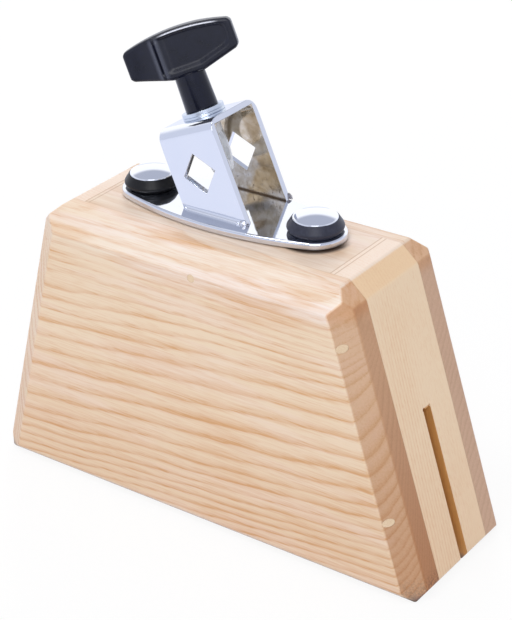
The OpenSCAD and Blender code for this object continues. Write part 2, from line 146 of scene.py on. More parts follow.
# The clamp leans: its foot on the plate, the direction of its stud, and the height of the plate
clamp_foot = Vector(joints["knob_turn"]["pos_m"])
clamp_axis = Vector(joints["knob_turn"]["axis"]).normalized()
plate_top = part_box("base_plate")[1].z


def srgb(red, green, blue):
    """A colour given as it looks on a screen, 0 to 255, in the linear values that a shader takes."""
    def linear(value):
        share = value / 255
        return share / 12.92 if share <= 0.04045 else ((share + 0.055) / 1.055) ** 2.4
    return linear(red), linear(green), linear(blue), 1


# Shader maths

class Wire:
    """One output of a material's node, which takes part in Python sums."""

    def __init__(self, paint, socket):
        self.paint = paint
        self.socket = socket

    def math(self, operation, *others):
        return self.paint.put("Math", {"operation": operation}, dict(enumerate((self,) + others)))

    __add__ = __radd__ = partialmethod(math, "ADD")
    __sub__ = partialmethod(math, "SUBTRACT")
    __mul__ = __rmul__ = partialmethod(math, "MULTIPLY")
    __truediv__ = partialmethod(math, "DIVIDE")
    fraction = partialmethod(math, "FRACT")
    whole = partialmethod(math, "FLOOR")
    size = partialmethod(math, "ABSOLUTE")
    root = partialmethod(math, "SQRT")
    sign = partialmethod(math, "SIGN")
    at_least = partialmethod(math, "MAXIMUM")
    at_most = partialmethod(math, "MINIMUM")

    def __rsub__(self, other):
        return self * -1 + other

    def ease(self, low, high, start=0.0, end=1.0):
        """Goes smoothly from start to end as the value goes from low to high."""
        values = {"Value": self, "From Min": low, "From Max": high, "To Min": start, "To Max": end}
        return self.paint.put("MapRange", {"interpolation_type": "SMOOTHSTEP"}, values)

    def fall(self, low, high):
        return self.ease(low, high, 1.0, 0.0)


class Paint:
    """A material, or the world, and the nodes that it is made of."""

    def __init__(self, name, owner=None):
        self.material = owner or bpy.data.materials.new(name)
        self.material.use_nodes = True
        self.tree = self.material.node_tree
        self.tree.nodes.clear()

    def put(self, kind, settings=None, sockets=None, output=0):
        """Adds a shader node with its settings and its sockets' values or links, and returns one output."""
        node = self.tree.nodes.new("ShaderNode" + kind)
        for key, value in (settings or {}).items():
            if key == "stops":
                self.set_stops(node.color_ramp, value)
            else:
                setattr(node, key, value)
        for key, value in (sockets or {}).items():
            if isinstance(value, Wire):
                self.tree.links.new(value.socket, node.inputs[key])
            else:
                node.inputs[key].default_value = value
        return Wire(self, node.outputs[output]) if node.outputs else None

    def set_stops(self, ramp, stops):
        while len(ramp.elements) < len(stops):
            ramp.elements.new(1)
        for element, (place, colour) in zip(ramp.elements, stops):
            element.position = place
            element.color = colour if isinstance(colour, tuple) else (colour, colour, colour, 1)

    def ramp(self, value, stops, output="Color"):
        return self.put("ValToRGB", {"stops": stops}, {"Fac": value}, output)

    def place(self):
        """Position on the piece in millimetres, as a vector."""
        spot = self.put("TexCoord", None, None, "Object")
        return self.put("VectorMath", {"operation": "SCALE"}, {0: spot, "Scale": 1 / MM})

    def parts(self, vector):
        split = self.put("SeparateXYZ", None, {0: vector})
        return [Wire(self, socket) for socket in split.socket.node.outputs]

    def vector(self, x, y, z):
        return self.put("CombineXYZ", None, {0: x, 1: y, 2: z})

    def stretch(self, vector, scale, turn=(0, 0, 0)):
        settings = {"Vector": vector, "Rotation": turn, "Scale": scale}
        return self.put("Mapping", {"vector_type": "POINT"}, settings)

    def minus(self, vector, other):
        return self.put("VectorMath", {"operation": "SUBTRACT"}, {0: vector, 1: other})

    def dot(self, vector, way):
        return self.put("VectorMath", {"operation": "DOT_PRODUCT"}, {0: vector, 1: way}, "Value")

    def noise(self, vector, scale, detail, roughness=0.5):
        """Soft random values round 0.5. The scale tells how fine they are, for all axes or for each one."""
        if isinstance(scale, tuple):
            vector, scale = self.stretch(vector, scale), 1.0
        values = {"Vector": vector, "Scale": scale, "Detail": detail, "Roughness": roughness}
        return self.put("TexNoise", None, values)

    def blend(self, share, first, second, kind="MIX"):
        """Mixes two colours."""
        settings = {"data_type": "RGBA", "blend_type": kind}
        return self.put("Mix", settings, {0: share, 6: first, 7: second}, 2)

    def shades(self, share, first, second):
        """Mixes two colours that are given as they look on a screen."""
        return self.blend(share, srgb(*first), srgb(*second))

    def bump(self, height, distance, strength):
        values = {"Strength": strength, "Distance": distance * MM, "Height": height}
        return self.put("Bump", None, values)

    def principled(self, tone, rough, relief, metal=0.0, gloss=0.5):
        """Finishes the material with one Principled BSDF."""
        shader = self.put("BsdfPrincipled", None, {
            "Base Color": tone, "Roughness": rough, "Normal": relief, "Metallic": metal,
            "Specular IOR Level": gloss})
        self.put("OutputMaterial", None, {"Surface": shader})
        return self.material


# Wood

def seam_line(x, y, z):
    """1 on the end pieces' glue lines, less on the long ones beside the rail, 0 off them."""
    lean = SIDE_SLOPE * z
    right = x + lean - RIGHT_SEAM
    left = x - lean + LEFT_SEAM
    ends = right.size().at_most((right - SEAM_TWIN).size())
    ends = ends.at_most(left.size()).at_most((left - SEAM_TWIN).size())
    within = (y - CORE_MIDDLE).size() - CORE_HALF
    ends = ends + within.ease(0.0, 0.2, 0.0, 9.0)
    cross = ends.fall(SEAM_WIDTH * 0.3, SEAM_WIDTH)
    return cross.at_least(within.size().ease(SEAM_WIDTH * 0.3, SEAM_WIDTH, 0.35, 0.0))


def rim_shade(paint, tone, x, y, flat_top):
    """Darkens the wood's tone on the top round the right end of the plate: a painted shadow."""
    low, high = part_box("right_bush")
    right = x - (low.x + high.x) / 2 / MM
    back = y - (low.y + high.y) / 2 / MM
    away = (right * right + back * back).root() - RIM_RADIUS
    towards = right * 0.3 - back * 0.95
    # Painted shadow: browner in front of and to the right of the plate's right end, dark close under its rim
    soft = away.fall(0, 9) * towards.ease(-2, 8) * flat_top
    tight = away.ease(0.6, 3.0, 0.95, 0.0) * towards.ease(-1, 6) * flat_top
    tone = paint.blend(soft, tone, RIM_SHADOW_TINT, "MULTIPLY")
    return paint.blend(tight, tone, srgb(*RIM_SHADOW_TONE))


def grain_of(paint, rings, along_grain, lying, depth, plain_from):
    """How dark the grain is, from 0 to a little over 1, with the fibres and the pores that are in it."""
    x, y, z = paint.parts(along_grain)
    count = rings(paint, x, y, z)
    band = paint.ramp(count.fraction(), RING_STOPS)
    fibre = paint.noise(along_grain, FIBRE_SCALE[lying], 3.0, 0.6)
    pore = paint.noise(along_grain, PORE_SCALE[lying], 1.0)
    cloud = paint.noise(along_grain, (0.02, 0.04, 0.03), 2.0)
    ring_tone = paint.noise(paint.vector(count.whole() * 7.31, x * 0.012, z * 0.004), 1.0, 1.0)
    darkness = band * ring_tone.ease(0.25, 0.7, 0.4, 1.0) * depth
    if plain_from is not None:
        darkness = darkness * y.ease(plain_from - 6, plain_from + 6, 1.0, 0.12)
    darkness = darkness * z.ease(*FAINT_HEIGHTS, 1.0, UPPER_RINGS) * z.ease(*FAINTER_HEIGHTS, 1.0, TOP_RINGS)
    darkness = darkness + (fibre - 0.5) * 0.95 + pore.ease(0.5, 0.7, 0.0, 0.4) * (band * 0.6 + 0.4)
    if lying:
        flame = paint.noise(along_grain, (0.017, 0.16, 0.16), 2.0)
        darkness = darkness + flame.ease(0.5, 0.62, 0.0, 0.38) * z.ease(*FLAME_HEIGHTS)
    return (darkness + (cloud - 0.5) * 0.6).at_least(0).at_most(1.25), fibre, pore


def end_grain_tone(paint, place, z, darkness, light, dark, low_end):
    """Tone of the sawn ends: speckled, darker and warmer downwards in painted shade, stained at the foot."""
    speck = paint.noise(place, 1.1, 3.0, 0.7)
    tone = paint.blend((darkness * 0.6 + (speck - 0.5) * 0.9 + 0.15).at_least(0), light, dark)
    # Painted shade: the end grain darker and warmer downwards
    tone = paint.blend(z.ease(0, 95, low_end, 0.0), tone, LOW_END_SHADE_TINT, "MULTIPLY")
    stain = z.fall(*STAIN_HEIGHTS) * speck.ease(0.42, 0.58) * 0.75
    return paint.blend(stain * low_end, tone, srgb(*STAIN_TONE))


def glued_and_shaded(paint, tone, x, y, z, flat_top, fibre):
    """The wood's tone with a painted shadow round the plate, the glue lines, painted shade in the sawn slot and on
    the edge of the foot.
    """
    tone = rim_shade(paint, tone, x, y, flat_top)
    tone = paint.blend(seam_line(x, y, z) * 0.5, tone, srgb(*SEAM_TONE))
    # Painted shade inside the sawn slot
    in_slot = (y - SLOT_MIDDLE).size().fall(SLOT_HALF + 0.02, SLOT_HALF + 0.08)
    in_slot = in_slot * z.fall(SLOT_TOP + 0.3, SLOT_TOP + 0.8)
    tone = paint.blend(in_slot, tone, paint.shades(fibre, SLOT_SHADOW_TONE, SLOT_SHADE))
    # Painted shade on the edge round the underside
    return paint.blend(z.ease(0.4, FOOT_CHAMFER, 0.75, 0.0), tone, srgb(*FOOT_SHADE_TONE))


def ash(name, rings, tones, depth, grain_turn=LYING, along=(1, 0, 0), plain_from=None, low_end=1.0):
    """Ash with a ring pattern: rings(paint, x, y, z) counts growth rings at a point in millimetres.

    The tones are what a screen shows for light and dark grain along the board, then on its ends. The rings
    fade out behind plain_from, a place in Y. The end grain darkens downwards in painted shade by the share
    low_end. Only the core's end pieces have grain that doesn't lie along X.
    """
    paint = Paint(name)
    lying = grain_turn == LYING
    light, dark, end_light, end_dark = (srgb(*tone) for tone in tones)
    place = paint.place()
    along_grain = paint.stretch(place, (1, 1, 1), grain_turn)
    darkness, fibre, pore = grain_of(paint, rings, along_grain, lying, depth, plain_from)
    x, y, z = paint.parts(place)
    flat_top = z.ease(*FLAT_TOP_HEIGHTS)
    facing = paint.dot(paint.put("TexCoord", None, None, "Normal"), along).size()
    end_grain = facing.ease(0.35, 0.95) * (1 - flat_top) * x.ease(-30, 0, 0.25, 1.0)
    if lying:
        blush = paint.noise(along_grain, (0.014, 0.11, 0.13), 3.0)
        light = paint.blend(blush.ease(0.48, 0.66, 0.0, 0.55), light, srgb(*BLUSH_TONE))
    tone = paint.blend(darkness, light, dark)
    # Painted shade: darker and warmer towards the bottom
    tone = paint.blend(z.ease(*LOW_SHADE_HEIGHTS, 0.75, 0.0), tone, LOW_SHADE_TINT, "MULTIPLY")
    # Painted light and sheen on the top
    lit_top = z.ease(*TOP_LIGHT_HEIGHTS) * x.ease(-80, -20, 0.45, 1.0) if lying else flat_top
    tone = paint.blend(lit_top, tone, TOP_LIGHT_TINT if lying else END_TOP_LIGHT_TINT, "MULTIPLY")
    end_tone = end_grain_tone(paint, place, z, darkness, end_light, end_dark, low_end)
    tone = paint.blend(end_grain, tone, end_tone)
    if lying:
        chamfer = z.ease(*CHAMFER_HEIGHTS) * (1 - flat_top)
        # Painted light: the chamfer paler from the middle to the right
        tone = paint.blend(chamfer * x.ease(-60, -20), tone, CHAMFER_LIGHT_TINT, "MULTIPLY")
        tone = paint.blend(chamfer * facing.ease(0.2, 0.5) * x.ease(0, 40), tone, CORNER_TINT, "MULTIPLY")
    tone = glued_and_shaded(paint, tone, x, y, z, flat_top, fibre)
    rough = 0.36 + fibre * 0.16 + end_grain * 0.1
    relief = paint.bump(fibre * 0.6 + pore.ease(0.55, 0.75, 0.0, -0.8), 0.035, 0.5)
    return paint.principled(tone, rough, relief)


def wander(paint, x, y, z, scale):
    """Slow, soft random values round 0, which make rings run unevenly."""
    return paint.noise(paint.vector(x, y, z), scale, 2.0) - 0.5


def front_rings(paint, x, y, z):
    uneven = wander(paint, x, y, z, (0.013, 0.03, 0.03)) * 5 + wander(paint, x, y, z, (0.07, 0.2, 0.2)) * 1.5
    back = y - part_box("front_slab")[0].y / MM
    slope = (z.fall(*SLOPE_HEIGHTS) * RING_RISE_SHARE + back * 0.006) * x
    curl = z.ease(*CURL_HEIGHTS, RING_CURL, 0.012)
    steep = x.ease(-58, -50, LEFT_STEEPNESS, 0.0) * z.fall(103, 109)
    off = z - slope - back * back * curl - back * steep + uneven - WIDE_RING_HEIGHT
    near = off.at_least(-NARROW_RING_DISTANCE).at_most(NARROW_RING_DISTANCE)
    narrowing = 3 * RING_NARROWING * NARROW_RING_DISTANCE ** 2
    return off * WIDE_RINGS + near * near * near * RING_NARROWING + (off - near) * narrowing


def rear_rings(paint, x, y, z):
    uneven = wander(paint, x, y, z, (0.012, 0.04, 0.04)) * 9 + wander(paint, x, y, z, (0.08, 0.25, 0.25))
    return (z - (y - 16) * 0.9 + x * 0.04 + uneven) * 0.27


def rail_rings(paint, x, y, z):
    across = ((y - 4) * (y - 4) + (z - 85) * (z - 85)).root()
    return (across + wander(paint, x, y, z, (0.012, 0.05, 0.05)) * 8 - x * 0.03) * 0.4


def end_rings(paint, x, y, z):
    return (y + wander(paint, x, y, z, (0.05, 0.05, 0.012)) * 1.6 + (x - 76) * 0.25) * 0.62


# Wood of each board: light and dark grain along it, then on its ends, as a screen shows them
FRONT_TONES = (247, 223, 194), (225, 172, 119), (212, 165, 128), (194, 147, 108)
REAR_TONES = (242, 216, 187), (214, 168, 124), (217, 179, 150), (197, 156, 128)
RAIL_TONES = (244, 221, 195), (222, 184, 146), (222, 184, 150), (194, 150, 118)
END_TONES = (255, 227, 192), (242, 198, 154), (244, 206, 162), (230, 184, 136)


def end_ash(name, side):
    """Ash of an end piece, whose grain runs along its leaning side."""
    low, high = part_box(name)
    lean = side * math.atan2((high.x - low.x) / 4, high.z - low.z)
    along = (-math.sin(lean), 0, math.cos(lean))
    return ash("ash_" + name, end_rings, END_TONES, 0.7, (0, lean, 0), along, plain_from=0)


# Meshes

def as_mesh(name, solid):
    """A mesh made from a bmesh, which is freed."""
    data = bpy.data.meshes.new(name)
    solid.to_mesh(data)
    solid.free()
    return data


def linked(name, data):
    """An object in the scene, made from a mesh, lamp or camera."""
    obj = bpy.data.objects.new(name, data)
    bpy.context.scene.collection.objects.link(obj)
    return obj


def body_of(node):
    groups = frame["record"]["behaviour"]["bodies"]
    return next(body for body, members in groups.items() if node in members)


def finish(obj, node, material, stands_for_node=True):
    """Gives a piece its material and the body of a CAD node, which it can take the place of."""
    dress(obj, material)
    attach(obj, body_of(node))
    if stands_for_node:
        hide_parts(node)


def dress(obj, material):
    obj.data.materials.clear()
    obj.data.materials.append(material)


def shaded(mesh, angle):
    """Smooth shading that keeps edges sharper than the angle."""
    mesh.shade_smooth()
    mesh.set_sharp_from_angle(angle=math.radians(angle))


def piece(name, solid, material, angle, node, stands_for_node=True):
    """A finished piece from a bmesh, smooth but for edges sharper than the angle."""
    obj = linked(name, as_mesh(name, solid))
    shaded(obj.data, angle)
    finish(obj, node, material, stands_for_node)


def merged_copy(node):
    """A CAD node's mesh as a bmesh of whole faces, in place of its loose triangles."""
    solid = bmesh.new()
    solid.from_mesh(cad[node].data)
    for layers in (solid.loops.layers.uv, solid.loops.layers.float_color, solid.verts.layers.float_vector):
        for layer in list(layers.values()):
            layers.remove(layer)
    bmesh.ops.remove_doubles(solid, verts=solid.verts, dist=0.002 * MM)
    bmesh.ops.dissolve_limit(solid, angle_limit=math.radians(0.2), verts=solid.verts, edges=solid.edges)
    solid.normal_update()
    return solid


def round_edges(solid, radius, steps, least_angle, wanted):
    """Rounds the wanted edges of a bmesh where its faces turn by more than the least angle."""
    least = math.radians(least_angle)
    edges = [edge for edge in solid.edges
             if len(edge.link_faces) == 2 and edge.calc_face_angle(0) > least and wanted(edge)]
    bmesh.ops.bevel(solid, geom=edges, offset=radius * MM, offset_type="OFFSET", segments=steps, profile=0.5,
                    affect="EDGES", clamp_overlap=False)


def settle(obj):
    """Turns a piece's modifiers into plain mesh."""
    graph = bpy.context.evaluated_depsgraph_get()
    made = obj.evaluated_get(graph)
    data = bpy.data.meshes.new_from_object(made, preserve_all_data_layers=True, depsgraph=graph)
    obj.modifiers.clear()
    data.name = obj.name
    obj.data = data


def even_faces(obj):
    """Shades flat faces flat and the rounded edges between them smoothly."""
    shaded(obj.data, 32)
    weighted = obj.modifiers.new("even_faces", "WEIGHTED_NORMAL")
    weighted.keep_sharp = True
    settle(obj)


def eased(name, node, material, radius, steps, wanted):
    """A copy of a CAD node with its wanted edges rounded by the radius."""
    solid = merged_copy(node)
    round_edges(solid, radius, steps, 20, wanted)
    data = as_mesh(name, solid)
    for attribute in [a for a in data.attributes if a.name == "custom_normal"]:
        data.attributes.remove(attribute)
    obj = linked(name, data)
    even_faces(obj)
    finish(obj, node, material)


def knob_frame():
    """Matrix from the knob's own frame, with Z along the stud and X along its wings, to the row frame."""
    across = Vector((clamp_axis.z, 0, -clamp_axis.x)).normalized()
    side = clamp_axis.cross(across)
    basis = Matrix((across, side, clamp_axis)).transposed().to_4x4()
    return Matrix.Translation(clamp_foot) @ basis @ Matrix.Rotation(math.radians(KNOB_TURN), 4, "Z")


def knob_span():
    """Lowest and highest place of the knob along the stud, in millimetres."""
    places = [(vertex.co - clamp_foot).dot(clamp_axis) / MM for vertex in cad["knob"].data.vertices]
    return min(places), max(places)


def rounded(corners, steps):
    """A line of (radius, height, rounding) corners with each corner turned into an arc."""
    points = []
    for i, (x, z, radius) in enumerate(corners):
        if radius == 0 or i in (0, len(corners) - 1):
            points.append((x, z))
            continue
        here = Vector((x, z))
        before = Vector(corners[i - 1][:2]) - here
        after = Vector(corners[i + 1][:2]) - here
        turn = before.angle(after)
        reach = min(radius / math.tan(turn / 2), before.length * 0.49, after.length * 0.49)
        start = here + before.normalized() * reach
        end = here + after.normalized() * reach
        for k in range(steps + 1):
            share = k / steps
            points.append(tuple((1 - share) ** 2 * start + 2 * share * (1 - share) * here + share ** 2 * end))
    return points


def join_rings(mesh, rings):
    """Joins rings of vertices, or single ones at the ends, by faces."""
    for low, high in zip(rings, rings[1:]):
        steps = max(len(low), len(high))
        for i in range(steps):
            k = (i + 1) % steps
            if len(low) == 1:
                mesh.faces.new((low[0], high[k], high[i]))
            elif len(high) == 1:
                mesh.faces.new((low[i], low[k], high[0]))
            else:
                mesh.faces.new((low[i], low[k], high[k], high[i]))


def turned(profile, matrix, steps, mesh=None):
    """Spins a profile of (radius, height) points, in millimetres, about Z and places it by the matrix."""
    mesh = mesh or bmesh.new()
    rows = []
    for radius, height in profile:
        if radius < 1e-6:
            rows.append([mesh.verts.new(matrix @ Vector((0, 0, height * MM)))])
            continue
        ring = []
        for i in range(steps):
            angle = 2 * math.pi * i / steps
            spot = Vector((radius * math.cos(angle), radius * math.sin(angle), height)) * MM
            ring.append(mesh.verts.new(matrix @ spot))
        rows.append(ring)
    join_rings(mesh, rows)
    return mesh


# Metals, rubber, plastic and the wood of the pins

CHROME_TONES = (219, 223, 232), (226, 229, 236)
ZINC_TONES = (196, 207, 220), (220, 227, 236)
# The eye's satin zinc is paler and mirrors less; its paleness is painted light, since little light reaches it
# between the legs
SATIN_LIT_TONES = (236, 241, 250), (250, 252, 255)
BRASS_TONES = (196, 152, 82), (222, 184, 116)
PIN_TONES = (250, 230, 200), (226, 190, 150)


def chrome_material():
    paint = Paint("chrome")
    place = paint.place()
    cloud = paint.noise(place, 0.12, 3.0)
    fine = paint.noise(place, 1.4, 2.0)
    tone = paint.shades(cloud, *CHROME_TONES)
    rough = cloud.ease(0.35, 0.75, 0.03, 0.08) + fine * 0.02
    relief = paint.bump(paint.noise(place, 0.25, 1.0) + fine * 0.03, 0.05, 0.25)
    return paint.principled(tone, rough, relief, metal=1.0)


# Strap: the middle between its legs, half the gap between them, how far up the stud the gap ends, and over
# what height and how much the outer faces of the legs splay towards the plate
STRAP_MIDDLE = 7.1
STRAP_GAP_HALF = 11.0
STRAP_INNER_TOP = 32.4
SPLAY_HEIGHT = 14
SPLAY_SLOPE = 0.15


def strap_material():
    """Chrome that is bare nickel and browned by the weld between the legs, where its beige is partly a painted
    reflection of the wood.
    """
    paint = Paint("strap_chrome")
    place = paint.place()
    x, y, z = paint.parts(place)
    above = z - plate_top / MM
    cloud = paint.noise(place, 0.12, 3.0)
    fine = paint.noise(place, 1.4, 2.0)
    climbed = paint.dot(paint.minus(place, clamp_foot / MM), clamp_axis)
    inner = (y - STRAP_MIDDLE).size().fall(STRAP_GAP_HALF + 0.05, STRAP_GAP_HALF + 0.2)
    inner = inner * climbed.fall(STRAP_INNER_TOP + 0.1, STRAP_INNER_TOP + 0.3)
    patch = paint.noise(place, 0.28, 4.0, 0.6)
    # Between the legs: bare nickel, its beige partly a painted reflection of the wood
    stops = [(0.3, srgb(180, 164, 138)), (0.5, srgb(208, 196, 177)), (0.7, srgb(226, 220, 210))]
    speck = paint.noise(place, (0.9, 0.9, 0.54), 4.0, 0.7).ease(0.56, 0.66)
    burn = (speck * above.ease(2, 11, 0.8, 0.0)).at_least(above.ease(0.2, 1.2, 0.9, 0.0))
    nickel_and_reflection = paint.blend(burn, paint.ramp(patch, stops), srgb(84, 62, 40))
    tone = paint.blend(inner, paint.shades(cloud, *CHROME_TONES), nickel_and_reflection)
    rough = cloud.ease(0.35, 0.75, 0.05, 0.12) + inner * 0.06 + burn * inner * 0.2
    climb = above.at_most(SPLAY_HEIGHT)
    splay = (climb * climb / (2 * SPLAY_HEIGHT) - climb) * SPLAY_SLOPE * (1 - inner)
    relief = paint.bump(splay + paint.noise(place, 0.25, 1.0) * 0.03 + fine * 0.002, 1.0, 1.0)
    return paint.principled(tone, rough, relief, metal=1.0)


def zinc_material(name, polish, metal, tones):
    paint = Paint(name)
    place = paint.place()
    fine = paint.noise(place, 5.0, 2.0)
    tone = paint.shades(paint.noise(place, 0.5, 3.0), *tones)
    relief = paint.bump(fine, 0.02, 0.3)
    return paint.principled(tone, fine * 0.16 + polish, relief, metal)


def weld_material():
    """Rough and stained at the right ends of the feet, smooth at the left ends, browned on the rear foot."""
    paint = Paint("weld")
    place = paint.place()
    lump = paint.noise(place, 1.2, 3.0)
    x, y, z = paint.parts(place)
    right_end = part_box("weld_beads")[1].x / MM
    rough_end = x.ease(right_end - 6, right_end - 4)
    stops = [(0.3, srgb(150, 136, 120)), (0.42, srgb(206, 208, 216)), (0.7, srgb(226, 229, 238))]
    tone = paint.blend(rough_end, srgb(206, 211, 226), paint.ramp(lump, stops))
    tone = paint.blend(y.ease(STRAP_MIDDLE, STRAP_MIDDLE + 3, 0.0, 0.6), tone, srgb(96, 74, 54))
    relief = paint.bump(lump * rough_end, 0.05, 0.5)
    rough = lump.ease(0.3, 0.6, 0.34, 0.2)
    return paint.principled(tone, rough, relief, metal=1.0)


def rubber_material():
    """Black rubber, with painted light making the right bush paler and bluer."""
    paint = Paint("rubber")
    place = paint.place()
    dust = paint.noise(place, 0.6, 4.0, 0.6)
    grain = paint.noise(place, 7.0, 2.0)
    x, y, z = paint.parts(place)
    # Painted light: the right bush paler and bluer
    lit_right_tone = paint.shades(dust, (34, 36, 48), (64, 67, 84))
    tone = paint.blend(x.ease(-5, 25), paint.shades(dust, (4, 4, 6), (14, 14, 18)), lit_right_tone)
    rough = 0.28 + dust * 0.2
    relief = paint.bump(grain, 0.03, 0.3)
    return paint.principled(tone, rough, relief, gloss=0.32)


def edge_highlights(paint, place):
    """1 where highlights are painted on the knob: on its raised lips beside the groove, and on its panel's rim, on
    both sides of its wings.
    """
    from_foot = paint.minus(place, clamp_foot / MM)
    along, behind, climbed = (paint.dot(from_foot, way.to_3d()) for way in knob_frame().col[:3])
    low, high = knob_span()
    towards_tip = along * behind.sign() * -1
    beside = (towards_tip + GROOVE_REACH).size()
    lips = beside.ease(0.3, 0.9) * beside.fall(0.9, 2.5)
    foot = low + WING_FOOT
    lips = lips * climbed.ease(foot - 0.2, foot + 2.4) * climbed.fall(high - 2.6, high - 0.6)
    below_crown = high - towards_tip * towards_tip / (2 * CROWN_RADIUS) - climbed
    rim = (below_crown - HIGHLIGHT_DROP).size().fall(0.1, 0.36)
    rim = rim * towards_tip.ease(-7, -3) * towards_tip.fall(13, 17)
    return lips, rim


def plastic_material(name, gloss, polish):
    paint = Paint(name)
    place = paint.place()
    wear = paint.noise(place, 0.35, 4.0, 0.6)
    lips, rim = edge_highlights(paint, place)
    tone = paint.shades(wear, (8, 10, 20), (19, 23, 45))
    # Painted highlights on the lips and on the panel's rim
    tone = paint.blend(lips * 0.6, tone, srgb(92, 96, 112))
    tone = paint.blend(rim * 0.95, tone, srgb(236, 239, 252))
    rough = polish + wear * 0.15
    relief = paint.bump(paint.noise(place, 6.0, 2.0), 0.02, 0.3)
    return paint.principled(tone, rough, relief, gloss=gloss)


def grained_material(name, scale, tones, rough, relief, metal=0.0):
    """Brass with turning marks, or the wood of the pins: tone, gloss and relief follow one grain."""
    paint = Paint(name)
    grain = paint.noise(paint.place(), scale, 2.0)
    tone = paint.shades(grain, *tones)
    return paint.principled(tone, rough + grain * 0.15, paint.bump(grain, *relief), metal)


# Boards: easing of their outer edges, gap round a pin, radius of a bolt's hole, and of the saw's ear at each
# upper corner of the slot
BOARD_EASE = 0.7
PIN_GAP = 0.07
BOLT_HOLE_RADIUS = 2.8
EAR_RADIUS = 0.75


def hull_of(*nodes):
    """The convex hull of CAD nodes as a bmesh of whole faces."""
    solid = bmesh.new()
    for node in nodes:
        for vertex in cad[node].data.vertices:
            solid.verts.new(vertex.co)
    bmesh.ops.remove_doubles(solid, verts=solid.verts, dist=0.002 * MM)
    made = bmesh.ops.convex_hull(solid, input=solid.verts)
    inside = {item for item in made["geom_interior"] if isinstance(item, bmesh.types.BMVert)}
    bmesh.ops.delete(solid, geom=list(inside), context="VERTS")
    bmesh.ops.dissolve_limit(solid, angle_limit=math.radians(0.3), verts=solid.verts, edges=solid.edges)
    loose = [vertex for vertex in solid.verts if len(vertex.link_edges) < 3]
    bmesh.ops.dissolve_verts(solid, verts=loose)
    bmesh.ops.recalc_face_normals(solid, faces=solid.faces)
    return solid


def solid_boxes(node):
    """Lowest and highest corners of each separate solid of a CAD node."""
    solid = merged_copy(node)
    left = set(solid.verts)
    boxes = []
    while left:
        group = [left.pop()]
        for vertex in group:
            for edge in vertex.link_edges:
                other = edge.other_vert(vertex)
                if other in left:
                    left.remove(other)
                    group.append(other)
        spots = [vertex.co for vertex in group]
        low = Vector(min(spot[axis] for spot in spots) for axis in range(3))
        high = Vector(max(spot[axis] for spot in spots) for axis in range(3))
        boxes.append((low, high))
    solid.free()
    return boxes


def rod_between(mesh, start, end, radius, steps=48):
    """Adds a closed cylinder from start to end."""
    axis = end - start
    matrix = Matrix.Translation((start + end) / 2) @ axis.to_track_quat("Z", "Y").to_matrix().to_4x4()
    bmesh.ops.create_cone(mesh, cap_ends=True, segments=steps, radius1=radius, radius2=radius,
                          depth=axis.length, matrix=matrix)


def board_cuts():
    """What is cut from the boards: the holes of pins and bolts, and the slot with its ears."""
    cuts = bmesh.new()
    past = 3 * MM
    for node, before, behind in (("front_pins", past, 0), ("rear_pins", 0, past)):
        for low, high in solid_boxes(node):
            x, y, z = (low + high) / 2
            start, end = Vector((x, low.y - before, z)), Vector((x, high.y + behind, z))
            rod_between(cuts, start, end, (high.x - low.x) / 2 + PIN_GAP * MM)
    for low, high in solid_boxes("bracket_bolts"):
        x, y = (low.x + high.x) / 2, (low.y + high.y) / 2
        rod_between(cuts, Vector((x, y, low.z)), Vector((x, y, high.z)), BOLT_HOLE_RADIUS * MM)
    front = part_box("front_bottom_strip")[1].y
    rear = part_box("rear_bottom_strip")[0].y
    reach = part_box("front_slab")[1].x * 1.5
    size = Vector((2 * reach, rear - front, 2 * SLOT_TOP * MM))
    place = Matrix.Translation((0, (front + rear) / 2, 0)) @ Matrix.Diagonal(size).to_4x4()
    bmesh.ops.create_cube(cuts, size=1, matrix=place)
    for y in (front + EAR_RADIUS * 0.7 * MM, rear - EAR_RADIUS * 0.7 * MM):
        ear = Vector((reach, y, SLOT_TOP * MM))
        rod_between(cuts, Vector((-reach, ear.y, ear.z)), ear, EAR_RADIUS * MM, 16)
    return linked("board_cuts", as_mesh("board_cuts", cuts))


def make_board(node, wood, outer, cutter):
    """A board as a convex form with its outer edges eased, from which the holes and the slot are cut."""
    solid = hull_of(node)
    round_edges(solid, BOARD_EASE, 3, 8, outer)
    low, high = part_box(node)
    for vertex in solid.verts:
        vertex.co = [min(max(value, least), most) for value, least, most in zip(vertex.co, low, high)]
    obj = linked(node + "_board", as_mesh(node + "_board", solid))
    cut = obj.modifiers.new("cuts", "BOOLEAN")
    cut.operation = "DIFFERENCE"
    cut.object = cutter
    cut.solver = "EXACT"
    cut.use_self = True
    settle(obj)
    even_faces(obj)
    finish(obj, node, wood)


def outer_test():
    """A test of whether a board's edge lies between two outer faces of the whole glued block."""
    whole = hull_of("front_slab", "rear_slab")
    corners = [vertex.co.copy() for vertex in whole.verts]
    whole.free()

    def outer_face(face):
        spot = face.verts[0].co
        return max(face.normal.dot(corner - spot) for corner in corners) < 0.02 * MM

    known = {}

    def wanted(edge):
        for face in edge.link_faces:
            key = tuple(round(value, 5) for value in (*face.normal, face.verts[0].co.dot(face.normal)))
            if key not in known:
                known[key] = outer_face(face)
            if not known[key]:
                return False
        return True

    return wanted


